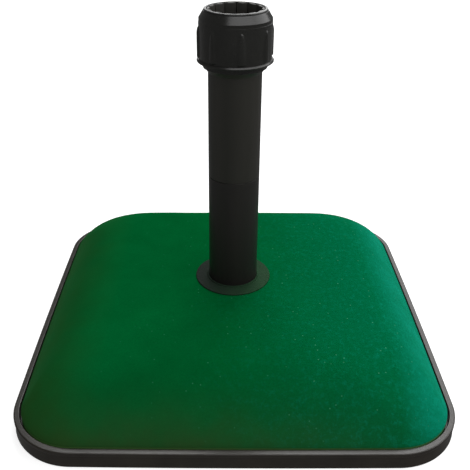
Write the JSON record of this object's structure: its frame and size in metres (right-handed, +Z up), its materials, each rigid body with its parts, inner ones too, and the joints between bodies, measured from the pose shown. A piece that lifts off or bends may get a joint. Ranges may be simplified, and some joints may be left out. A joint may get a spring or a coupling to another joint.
{
  "type": "concrete parasol base",
  "caption": "Square domed concrete parasol base in a plastic edge tray, with a two-piece pole tube, foot flange and ribbed screw-down clamp nut with a split collet.",
  "frame": {"origin": "on the ground, under the pole axis", "axes": "+Z up along the pole axis, -Y towards the front side of the slab, +X to the right"},
  "size_m": [0.45, 0.45, 0.383],
  "materials": {
    "painted_concrete": "green masonry paint on smooth cast concrete, satin",
    "tray_plastic": "black moulded plastic, fine grain, satin",
    "black_plastic": "black moulded plastic, satin",
    "nut_plastic": "black moulded plastic, half gloss",
    "black_tube": "black extruded plastic tube, half gloss",
    "soft_black_plastic": "black moulded plastic, satin, slightly browner",
    "zinc_steel": "zinc-plated steel",
    "pad_rubber": "matt black rubber"
  },
  "bodies": {
    "base": {"concrete_block": "painted_concrete", "edge_tray": "tray_plastic", "cast_socket": "black_plastic", "foot_flange": "black_plastic", "lower_tube": "black_tube", "tube_coupler": "black_plastic", "upper_tube": "soft_black_plastic", "tube_plug": "black_plastic", "base_washer": "zinc_steel", "base_bolt": "zinc_steel", "pad_front_left": "pad_rubber", "pad_front_right": "pad_rubber", "pad_back_left": "pad_rubber", "pad_back_right": "pad_rubber"},
    "collet": {"collet": "soft_black_plastic"},
    "clamp_nut": {"clamp_nut": "nut_plastic"}
  },
  "joints": [
    {"name": "clamp_climb", "type": "slide", "parent": "base", "child": "collet", "axis": [0, 0, 1], "range_m": [-0.00067, 0.00601]},
    {"name": "clamp_turn", "type": "hinge", "parent": "collet", "child": "clamp_nut", "pos_m": [0, 0, 0.35], "axis": [0, 0, 1], "range_deg": [-60, 540]}
  ],
  "couplings": [
    {"joint": "clamp_climb", "follows": "clamp_turn", "m_per_rad": 0.00063662}
  ]
}
